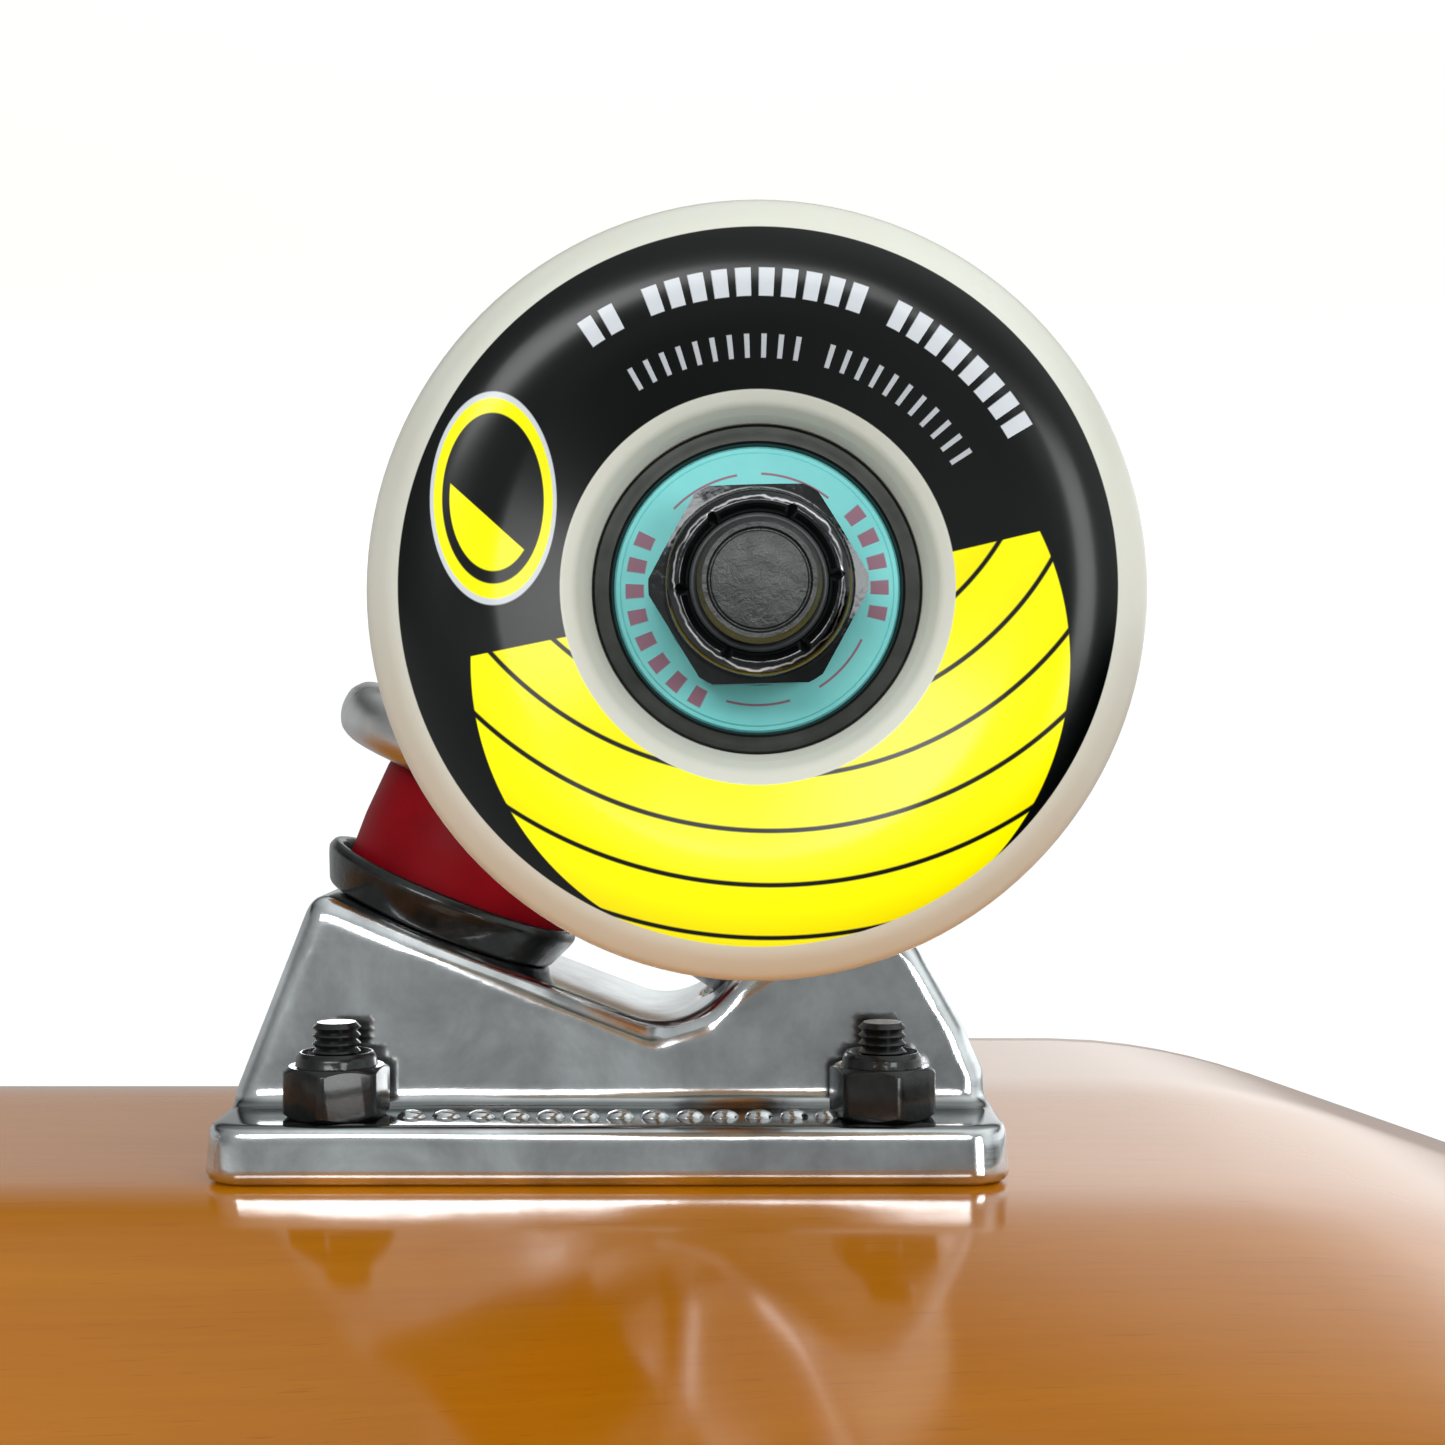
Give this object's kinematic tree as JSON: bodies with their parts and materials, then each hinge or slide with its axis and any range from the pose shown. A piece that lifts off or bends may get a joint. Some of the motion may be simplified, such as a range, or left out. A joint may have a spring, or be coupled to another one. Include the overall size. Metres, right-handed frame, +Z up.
{
  "type": "skateboard",
  "caption": "Complete popsicle skateboard with kicked nose and tail, steering trucks sprung by bushings, and urethane wheels on ball bearings.",
  "frame": {"origin": "on the ground under the middle of the board's length and width", "axes": "+X towards the nose, +Y to the board's left, +Z up with the wheels on the ground"},
  "size_m": [0.7918, 0.2032, 0.1313],
  "materials": {
    "stained_maple": "gloss lacquer",
    "grip_tape": "gritty matte",
    "polished_aluminium": "polished",
    "cast_aluminium": "satin",
    "black_hardware": "gloss black",
    "axle_steel": "dull",
    "red_urethane": "satin",
    "pivot_cup_plastic": "matte",
    "ivory_urethane": "gloss",
    "teal_shield": "satin"
  },
  "bodies": {
    "board": {"deck": "stained_maple", "grip_tape": "grip_tape", "front_mounting_bolt_1": "black_hardware", "front_mounting_nut_1": "black_hardware", "front_mounting_bolt_2": "black_hardware", "front_mounting_nut_2": "black_hardware", "front_mounting_bolt_3": "black_hardware", "front_mounting_nut_3": "black_hardware", "front_mounting_bolt_4": "black_hardware", "front_mounting_nut_4": "black_hardware", "front_baseplate": "polished_aluminium", "front_pivot_cup": "pivot_cup_plastic", "front_kingpin": "black_hardware", "front_bottom_washer": "black_hardware", "front_bottom_bushing": "red_urethane", "front_top_bushing": "red_urethane", "front_top_washer": "black_hardware", "front_kingpin_nut": "black_hardware", "rear_mounting_bolt_1": "black_hardware", "rear_mounting_nut_1": "black_hardware", "rear_mounting_bolt_2": "black_hardware", "rear_mounting_nut_2": "black_hardware", "rear_mounting_bolt_3": "black_hardware", "rear_mounting_nut_3": "black_hardware", "rear_mounting_bolt_4": "black_hardware", "rear_mounting_nut_4": "black_hardware", "rear_baseplate": "polished_aluminium", "rear_pivot_cup": "pivot_cup_plastic", "rear_kingpin": "black_hardware", "rear_bottom_washer": "black_hardware", "rear_bottom_bushing": "red_urethane", "rear_top_bushing": "red_urethane", "rear_top_washer": "black_hardware", "rear_kingpin_nut": "black_hardware"},
    "front_truck": {"front_hanger": "cast_aluminium", "front_axle": "axle_steel", "front_left_spacer_stack": "axle_steel", "front_left_axle_nut": "black_hardware", "front_right_spacer_stack": "axle_steel", "front_right_axle_nut": "black_hardware"},
    "rear_truck": {"rear_hanger": "cast_aluminium", "rear_axle": "axle_steel", "rear_left_spacer_stack": "axle_steel", "rear_left_axle_nut": "black_hardware", "rear_right_spacer_stack": "axle_steel", "rear_right_axle_nut": "black_hardware"},
    "front_left_wheel": {"front_left_wheel": "ivory_urethane", "front_left_outer_bearing": "teal_shield", "front_left_inner_bearing": "teal_shield"},
    "front_right_wheel": {"front_right_wheel": "ivory_urethane", "front_right_outer_bearing": "teal_shield", "front_right_inner_bearing": "teal_shield"},
    "rear_left_wheel": {"rear_left_wheel": "ivory_urethane", "rear_left_outer_bearing": "teal_shield", "rear_left_inner_bearing": "teal_shield"},
    "rear_right_wheel": {"rear_right_wheel": "ivory_urethane", "rear_right_outer_bearing": "teal_shield", "rear_right_inner_bearing": "teal_shield"}
  },
  "joints": [
    {"name": "front_steering", "type": "hinge", "parent": "board", "child": "front_truck", "pos_m": [0.1896, 0, 0.041], "axis": [0.829, 0, 0.5592], "range_deg": [-12, 12], "stiffness_Nm_per_rad": 40, "deforming": ["front_bottom_bushing", "front_top_bushing"]},
    {"name": "rear_steering", "type": "hinge", "parent": "board", "child": "rear_truck", "pos_m": [-0.2016, 0, 0.041], "axis": [-0.829, 0, 0.5592], "range_deg": [-12, 12], "stiffness_Nm_per_rad": 40, "deforming": ["rear_bottom_bushing", "rear_top_bushing"]},
    {"name": "front_left_spin", "type": "hinge", "parent": "front_truck", "child": "front_left_wheel", "pos_m": [0.2155, 0.0795, 0.0265], "axis": [0, 1, 0], "continuous": true},
    {"name": "front_right_spin", "type": "hinge", "parent": "front_truck", "child": "front_right_wheel", "pos_m": [0.2155, -0.0795, 0.0265], "axis": [0, 1, 0], "continuous": true},
    {"name": "rear_left_spin", "type": "hinge", "parent": "rear_truck", "child": "rear_left_wheel", "pos_m": [-0.2275, 0.0795, 0.0265], "axis": [0, 1, 0], "continuous": true},
    {"name": "rear_right_spin", "type": "hinge", "parent": "rear_truck", "child": "rear_right_wheel", "pos_m": [-0.2275, -0.0795, 0.0265], "axis": [0, 1, 0], "continuous": true}
  ]
}
